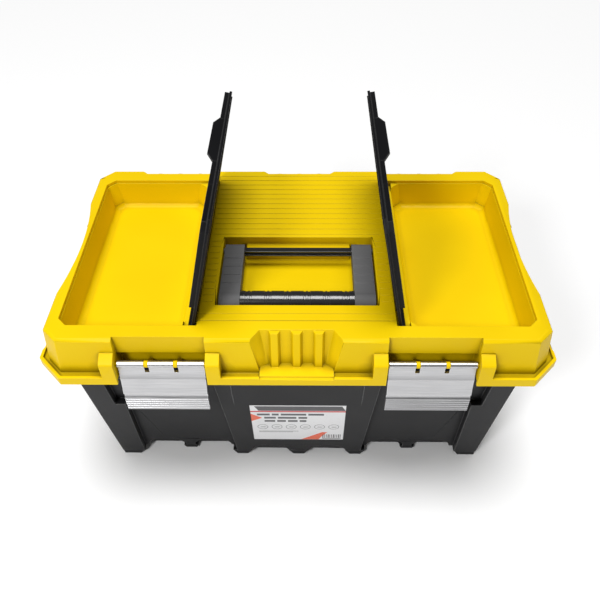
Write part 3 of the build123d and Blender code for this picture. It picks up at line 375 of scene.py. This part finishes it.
def rounded_copy(node, name, width):
    """A copy of a CAD node's mesh whose sharp edges are rounded by width, in millimetres."""
    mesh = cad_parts[node].data.copy()
    mesh.name = name
    mesh.materials.clear()
    bm = bmesh.new()
    bm.from_mesh(mesh)
    bmesh.ops.remove_doubles(bm, verts=bm.verts, dist=WELD)
    bmesh.ops.dissolve_limit(bm, angle_limit=FLAT_ANGLE, verts=bm.verts, edges=bm.edges)
    weight = bm.edges.layers.float.new("bevel_weight_edge")
    sharp = {edge for edge in bm.edges
             if len(edge.link_faces) == 2 and edge.calc_face_angle(0.0) > SHARP_ANGLE}
    rounded = 0
    for edge in sharp:
        in_chain = all(sum(other in sharp for other in vert.link_edges) == 2 for vert in edge.verts)
        if edge.calc_length() > SHORTEST or in_chain:
            strip = min(2 * face.calc_area() / face.calc_perimeter() for face in edge.link_faces)
            edge[weight] = min(1.0, NARROW_SHARE * strip / (width * MM))
            rounded += 1
    crowded = [face for face in bm.faces if len(face.verts) > MANY_CORNERS]
    bmesh.ops.triangulate(bm, faces=crowded, quad_method="BEAUTY", ngon_method="BEAUTY")
    bm.to_mesh(mesh)
    bm.free()
    piece = bpy.data.objects.new(name, mesh)
    bpy.context.scene.collection.objects.link(piece)
    bevel = piece.modifiers.new("rounded_edges", "BEVEL")
    bevel.limit_method = "WEIGHT"
    bevel.width = width * MM
    bevel.segments = ROUND_STEPS
    bevel.use_clamp_overlap = False
    bevel.miter_outer = "MITER_ARC"
    shade_smooth(piece)
    print(f"{name}: {rounded} edges rounded by {width} mm")
    return piece


def shade_smooth(piece, angle=32.0):
    """Smooth shading that breaks at sharp edges, with faces weighted by their area."""
    mesh = piece.data
    mesh.polygons.foreach_set("use_smooth", [True] * len(mesh.polygons))
    mesh.set_sharp_from_angle(angle=math.radians(angle))
    weighted = piece.modifiers.new("flat_faces_stay_flat", "WEIGHTED_NORMAL")
    weighted.keep_sharp = True


def settle(piece, node, body, material):
    """Give a piece its finish and its body, and hide the CAD node that it stands for."""
    piece.data.materials.append(material)
    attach(piece, body)
    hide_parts(node)


plan = [
    ("base_shell", "base_tub", "base", base_charcoal, "charcoal_plastic", 0.6),
    ("lid_shell", "lid_moulding", "lid", lid_yellow, "yellow_plastic", 0.5),
    ("bin_cover_left", "left_bin_cover", "left_cover", cover_black, "cover_plastic", 0.3),
    ("bin_cover_right", "right_bin_cover", "right_cover", cover_black, "cover_plastic", 0.3),
    ("handle_arm_left", "left_handle_arm", "handle", handle_grain, "handle_grain", 0.5),
    ("handle_arm_right", "right_handle_arm", "handle", handle_grain, "handle_grain", 0.5),
    ("handle_grip", "handle_grip_tube", "handle", handle_gloss, "handle_gloss", 0.4),
    ("handle_bar", "handle_back_bar", "handle", handle_gloss, "handle_gloss", 0.4),
    ("hinge_pin_left", "left_hinge_wire", "base", pin_metal, "steel", 0.3),
    ("hinge_pin_right", "right_hinge_wire", "base", pin_metal, "steel", 0.3),
    ("tray_shell", "tray_moulding", "tray", tray_black, "tray_plastic", 0.6),
    ("tray_handle", "tray_carry_bar", "tray", tray_black, "tray_plastic", 0.5),
]
for node, name, body, material, slot, width in plan:
    settle(rounded_copy(node, name, width), node, body, material)

# %% [markdown]
# The latches
# A latch is a length of aluminium extrusion: a tube along its top for the rod, a hollow flank below it, a
# bend, a flat that kicks out, one deep flute and six fine ribs for the fingers. All of it is one outline in
# side view, so the outline is drawn once with its arcs and run along X. Two slots, where the lid's webs
# reach the rod, are then cut through the tube with a boolean, and the hook behind it is a small bar of its
# own in the same mesh.

# %% Latch outline
LATCH_BOX = {side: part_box(f"latch_{side}") for side in ("left", "right")}
TUBE_Y, TUBE_Z, TUBE_R, BORE_R = -135.5, 210.0, 3.1, 1.65
LATCH_FOOT, LATCH_SKIN = 151.5, 2.0
SLOT_AT, SLOT_WIDE = 13.0, 4.1
RIB_COUNT, RIB_TOP = 6, 170.5
PRESS_FACE = -143.0        # the face that fingers press, furthest forward
BEND_Y = -139.6            # where the flank stops and the face kicks out
FLUTE_TOP, FLUTE_FOOT, FLUTE_DEEP = 174.6, 171.8, 1.5
RIB_IN, RIB_ROUND = 0.95, 0.44
HOOK_Y, HOOK_RISE, HOOK_HIGH, HOOK_INSET = (-140.5, -137.4), 6, 3, 8


def arc(centre, radius, start, end, steps):
    """Points of an arc in YZ, with angles in degrees from +Y towards +Z."""
    points = []
    for i in range(steps + 1):
        turn = math.radians(start + (end - start) * i / steps)
        points.append((centre[0] + radius * math.cos(turn), centre[1] + radius * math.sin(turn)))
    return points


def hollow_curve(start, end, sag, steps):
    """Points of a shallow curve from start to end that sags to the back."""
    points = []
    for i in range(steps + 1):
        t = i / steps
        y = start[0] + (end[0] - start[0]) * t + 4 * sag * t * (1 - t)
        points.append((y, start[1] + (end[1] - start[1]) * t))
    return points


def latch_outline():
    """Side view of the extrusion, from the tube down its face and back up behind."""
    front = hollow_curve((TUBE_Y - 1.9, TUBE_Z - 2.6), (BEND_Y - 0.3, 193.8), 0.9, 8)
    front += hollow_curve((BEND_Y, 193.2), (PRESS_FACE, 176.6), 0.5, 6)
    flute_floor = PRESS_FACE + FLUTE_DEEP
    front += [(PRESS_FACE, 175.4), (flute_floor, FLUTE_TOP), (flute_floor, FLUTE_FOOT)]
    pitch = (RIB_TOP - LATCH_FOOT) / RIB_COUNT
    for i in range(RIB_COUNT):
        middle = RIB_TOP - pitch * (i + 0.5)
        front += arc((PRESS_FACE + RIB_IN, middle), pitch * RIB_ROUND, 120, 240, 6)
    inside = PRESS_FACE + 1.0 + LATCH_SKIN
    back = [(inside, LATCH_FOOT), (inside, 176.0), (BEND_Y + LATCH_SKIN, 193.0)]
    tube = arc((TUBE_Y, TUBE_Z), TUBE_R, -50, 238, 26)
    return front + back + tube


def bridge_outlines(bm, near, far):
    """One watertight skin between two equal rings of corners, with both ends closed."""
    for i, vert in enumerate(near):
        following = (i + 1) % len(near)
        bm.faces.new((vert, near[following], far[following], far[i]))
    bm.faces.new(near[::-1])
    bm.faces.new(far)


def extrude_outline(bm, outline, x0, x1):
    """A closed outline in YZ, in millimetres, run along X."""
    near, far = ([bm.verts.new((x * MM, y * MM, z * MM)) for y, z in outline] for x in (x0, x1))
    bridge_outlines(bm, near, far)


def mesh_piece(name, bm):
    """An object from a bmesh with its normals set outwards."""
    bmesh.ops.recalc_face_normals(bm, faces=bm.faces)
    mesh = bpy.data.meshes.new(name)
    bm.to_mesh(mesh)
    bm.free()
    piece = bpy.data.objects.new(name, mesh)
    bpy.context.scene.collection.objects.link(piece)
    return piece


def cut_away(piece, cutters):
    """Cut helper solids out of a piece, and remove the helpers."""
    for cutter in cutters:
        cut = piece.modifiers.new("cut", "BOOLEAN")
        cut.operation = "DIFFERENCE"
        cut.object = cutter
        cut.solver = "EXACT"
    bpy.context.view_layer.update()
    evaluated = piece.evaluated_get(bpy.context.evaluated_depsgraph_get())
    old, piece.data = piece.data, bpy.data.meshes.new_from_object(evaluated)
    piece.modifiers.clear()
    bpy.data.meshes.remove(old)
    for cutter in cutters:
        bpy.data.objects.remove(cutter)


def box_points(y0, y1, z0, z1):
    """The corners of an upright box in side view."""
    return [(y0, z0), (y1, z0), (y1, z1), (y0, z1)]


def cutter(outline, x0, x1):
    """A helper solid for a boolean cut."""
    bm = bmesh.new()
    extrude_outline(bm, outline, x0, x1)
    return mesh_piece("cutter", bm)


def make_latch(side):
    """The latch plate of one side: its extrusion, bored and slotted, with the hook behind."""
    low, high = (corner / MM for corner in LATCH_BOX[side])
    bm = bmesh.new()
    extrude_outline(bm, latch_outline(), low.x, high.x)
    piece = mesh_piece(f"{side}_latch_plate", bm)
    middle = (low.x + high.x) / 2
    cutters = [cutter(arc((TUBE_Y, TUBE_Z), BORE_R, 0, 345, 23), low.x - 1, high.x + 1)]
    for step in (-SLOT_AT, SLOT_AT):
        x0 = middle + step - SLOT_WIDE / 2
        cutters.append(cutter(box_points(TUBE_Y - 8, TUBE_Y + 8, TUBE_Z - 9, TUBE_Z + 6), x0, x0 + SLOT_WIDE))
    cut_away(piece, cutters)
    hook = bmesh.new()
    hook.from_mesh(piece.data)
    hook_foot = LATCH_FOOT + HOOK_RISE
    hook_outline = box_points(*HOOK_Y, hook_foot, hook_foot + HOOK_HIGH)
    extrude_outline(hook, hook_outline, low.x + HOOK_INSET, high.x - HOOK_INSET)
    bmesh.ops.recalc_face_normals(hook, faces=hook.faces)
    hook.to_mesh(piece.data)
    hook.free()
    edges = piece.modifiers.new("rounded_edges", "BEVEL")
    edges.width = 0.2 * MM
    edges.segments = 2
    edges.limit_method = "ANGLE"
    edges.angle_limit = math.radians(60)
    edges.use_clamp_overlap = True
    shade_smooth(piece, 40.0)
    settle(piece, f"latch_{side}", f"{side}_latch", latch_metal)
    print(piece.name, "with", len(piece.data.polygons), "faces")


for side in ("left", "right"):
    make_latch(side)

# %% [markdown]
# The printed label
# The label is a glossy film with a dark band, a thin red rule, grey lines of small print, a row of round
# symbols and two warm accents. Nothing on it is legible here: every line of print is a row of plain bars.
# Each ink is one mesh of shapes that stand a few hundredths of a millimetre proud of the film, so the print
# stays crisp.

# %% Label film and inks
LABEL_FOOT_Y, LABEL_SLOPE = -99.2, math.atan(0.136)
FILM, INK, INK_SUNK = 0.24, 0.05, 0.02


def on_panel(x, up, out):
    """A point on the sloping panel: across, up the slope and out from it, in millimetres."""
    y = LABEL_FOOT_Y - up * math.sin(LABEL_SLOPE) - out * math.cos(LABEL_SLOPE)
    z = up * math.cos(LABEL_SLOPE) - out * math.sin(LABEL_SLOPE)
    return Vector((x, y, z)) * MM


def add_patch(bm, outline, low, high):
    """A thin prism on the panel between two heights."""
    lower, upper = ([bm.verts.new(on_panel(x, up, out)) for x, up in outline] for out in (low, high))
    bridge_outlines(bm, lower, upper)


def add_ring(bm, x, up, radius, thickness, low, high, steps=28):
    """A round symbol's outline on the panel."""
    for i in range(steps):
        a, b = 2 * math.pi * i / steps, 2 * math.pi * (i + 1) / steps
        corners = [(radius, a), (radius, b), (radius - thickness, b), (radius - thickness, a)]
        add_patch(bm, [(x + r * math.cos(t), up + r * math.sin(t)) for r, t in corners], low, high)


def bar(x0, x1, up0, up1, slant=0.0):
    """A plain bar of print. Slant shifts its upper edge along X."""
    return [(x0, up0), (x1, up0), (x1 + slant, up1), (x0 + slant, up1)]


def ink_piece(name, material, shapes, rings=()):
    """Everything printed in one ink, as one piece that replaces part of the label."""
    bm = bmesh.new()
    for shape in shapes:
        add_patch(bm, shape, FILM - INK_SUNK, FILM + INK)
    for x, up, radius, thickness in rings:
        add_ring(bm, x, up, radius, thickness, FILM - INK_SUNK, FILM + INK)
    settle(mesh_piece(name, bm), "front_label", "base", material)


def print_row(up, height, words, x=-42.0, space=2.2):
    """A line of small print as plain bars."""
    row = []
    for word in words:
        row.append(bar(x, x + word, up, up + height))
        x += word + space
    return row


def ink(name, colour, rough=0.3):
    """A printed ink, glossy like the film."""
    darker = tuple(c * 0.9 for c in colour)
    lighter = tuple(min(1.0, c * 1.1 + 0.01) for c in colour)
    return moulded_plastic(name, darker, colour, lighter, rough, grain_scale=900, grain_depth=0.2, bump=0.03,
                           coat=0.3, dust=0.01, wear_and_highlight=1.0)


# %% The film and its black and red print
LABEL_HALF, LABEL_FOOT, LABEL_TOP = 48.5, 40.0, 120.0
CODE_X, CODE_PITCH, CODE_BARS = 26.0, 1.9, 11

film = bmesh.new()
add_patch(film, bar(-LABEL_HALF, LABEL_HALF, LABEL_FOOT, LABEL_TOP), 0.0, FILM)
film_white = ink("label_white", (0.80, 0.80, 0.81))
settle(mesh_piece("label_sheet", film), "front_label", "base", film_white)
head_band = bar(-40.0, LABEL_HALF, 108.8, 118.4, -4.0)
code_line = bar(CODE_X, 46.0, 42.2, 43.6)
code_bars = []
for i in range(CODE_BARS):
    x = CODE_X + CODE_PITCH * i
    code_bars.append(bar(x, x + (0.7 if i % 3 else 1.1), 44.6, 53.0))
ink_piece("label_black_ink", ink("ink_black", (0.03, 0.03, 0.035)), [head_band, code_line] + code_bars)
red_rule = bar(-LABEL_HALF, LABEL_HALF, 105.6, 108.2)
ink_piece("label_red_ink", ink("ink_red", (0.62, 0.035, 0.04)), [red_rule])

# %% The small print, the symbols and the accents
PRINT_HIGH = 4.0
SYMBOL_X = [15.0 * i - 37.5 for i in range(6)]
SYMBOL_UP, SYMBOL_R, SYMBOL_LINE = 71.5, 5.6, 0.5

small_print = print_row(98.2, PRINT_HIGH, (13, 7, 26, 16))
small_print += print_row(90.8, PRINT_HIGH, (12, 19, 9), -35)
small_print += print_row(83.4, PRINT_HIGH, (11, 9, 10, 7), -35)
small_print += [bar(x - 3.0, x + 2.2, 70.6, 71.6, 1.5) for x in SYMBOL_X]
small_print += [bar(-42.0, 0.0, 60.6, 61.3), bar(-42.0, -6.0, 58.6, 59.3)]
symbols = [(x, SYMBOL_UP, SYMBOL_R, SYMBOL_LINE) for x in SYMBOL_X]
ink_piece("label_grey_ink", ink("ink_grey", (0.07, 0.07, 0.075), 0.4), small_print, symbols)
corner_arrow = [(-LABEL_HALF, 85.0), (-37.0, 92.5), (-LABEL_HALF, 102.0)]
swoosh = [(3.0, 40.4), (22.0, 40.4), (24.5, 47.0), (31.0, 58.5), (25.5, 58.5), (15.0, 50.0)]
ink_piece("label_orange_ink", ink("ink_orange", (0.82, 0.10, 0.02)), [corner_arrow, swoosh])

# %% [markdown]
# Floor, light and camera
# A plain pale floor and two lamps stand for a product studio. A small soft box at the front left shapes the
# walls and the latches. A wide light from overhead lights the top, reaches into the bins and lays the soft
# shadow on the floor. A weak white surround fills the rest.

# %% The studio
FLOOR_HALF, PAPER_WHITE = 6.0, 0.97
SOFTBOX_AT, SOFTBOX_AIM = Vector((-0.5, -0.95, 1.15)), Vector((0, 0, 0.18))
SOFTBOX_SIZE, SOFTBOX_WATTS = 0.3, 8.5
CEILING_HIGH, CEILING_POWER, CEILING_SPREAD = 1.8, 2.5, 0.55
SURROUND_POWER = 0.15


def add_lamp(name, kind, power, place):
    """A lamp in the scene. It shines straight down until it is turned."""
    lamp = bpy.data.objects.new(name, bpy.data.lights.new(name, kind))
    lamp.data.energy = power
    lamp.location = place
    bpy.context.scene.collection.objects.link(lamp)
    return lamp


def make_floor():
    """A wide sheet of white paper under the toolbox."""
    mesh = bpy.data.meshes.new("studio_floor")
    corners = [(x, y, 0) for x, y in ((-1, -1), (1, -1), (1, 1), (-1, 1))]
    mesh.from_pydata([Vector(corner) * FLOOR_HALF for corner in corners], [], [(0, 1, 2, 3)])
    floor = bpy.data.objects.new("studio_floor", mesh)
    bpy.context.scene.collection.objects.link(floor)
    material = bpy.data.materials.new("studio_paper")
    material.use_nodes = True
    shader = material.node_tree.nodes["Principled BSDF"]
    shader.inputs["Base Color"].default_value = (PAPER_WHITE, PAPER_WHITE, PAPER_WHITE, 1)
    shader.inputs["Roughness"].default_value = 0.9
    mesh.materials.append(material)


make_floor()
softbox = add_lamp("key_softbox", "AREA", SOFTBOX_WATTS, SOFTBOX_AT)
softbox.data.shape = "DISK"
softbox.data.size = SOFTBOX_SIZE
softbox.rotation_euler = (SOFTBOX_AIM - SOFTBOX_AT).to_track_quat("-Z", "Y").to_euler()
ceiling = add_lamp("ceiling_light", "SUN", CEILING_POWER, (0, 0, CEILING_HIGH))
ceiling.data.angle = CEILING_SPREAD
world = bpy.data.worlds.new("studio_world")
bpy.context.scene.world = world
world.use_nodes = True
surround = world.node_tree.nodes["Background"]
surround.inputs["Color"].default_value = (1, 1, 1, 1)
surround.inputs["Strength"].default_value = SURROUND_POWER
bpy.context.scene.view_settings.view_transform = "Standard"
print("lamps:", [lamp.name for lamp in (softbox, ceiling)])

# %% The camera
SENSOR = 36.0
LENS = 38.8
CAMERA_AT = Vector((0.00938, -0.48894, 0.65697))
PITCH, YAW, ROLL = math.radians(45.75), math.radians(-0.949), math.radians(0.531)
VIEW_SHIFT = -0.004


def make_camera():
    """A camera that looks down on the toolbox from the front, turned by its yaw, pitch and roll."""
    ahead = Vector((math.sin(YAW) * math.cos(PITCH), math.cos(YAW) * math.cos(PITCH), -math.sin(PITCH)))
    right = Vector((math.cos(YAW), -math.sin(YAW), 0))
    down = ahead.cross(right)
    across = right * math.cos(ROLL) + down * math.sin(ROLL)
    below = down * math.cos(ROLL) - right * math.sin(ROLL)
    data = bpy.data.cameras.new("studio_camera")
    data.lens = LENS
    data.sensor_width = SENSOR
    data.shift_y = VIEW_SHIFT
    camera = bpy.data.objects.new("studio_camera", data)
    bpy.context.scene.collection.objects.link(camera)
    turn = Matrix((across, -below, -ahead)).transposed().to_4x4()
    camera.matrix_world = Matrix.Translation(CAMERA_AT) @ turn
    bpy.context.scene.camera = camera
    return camera


camera = make_camera()
print("camera at", [round(v, 3) for v in camera.location])
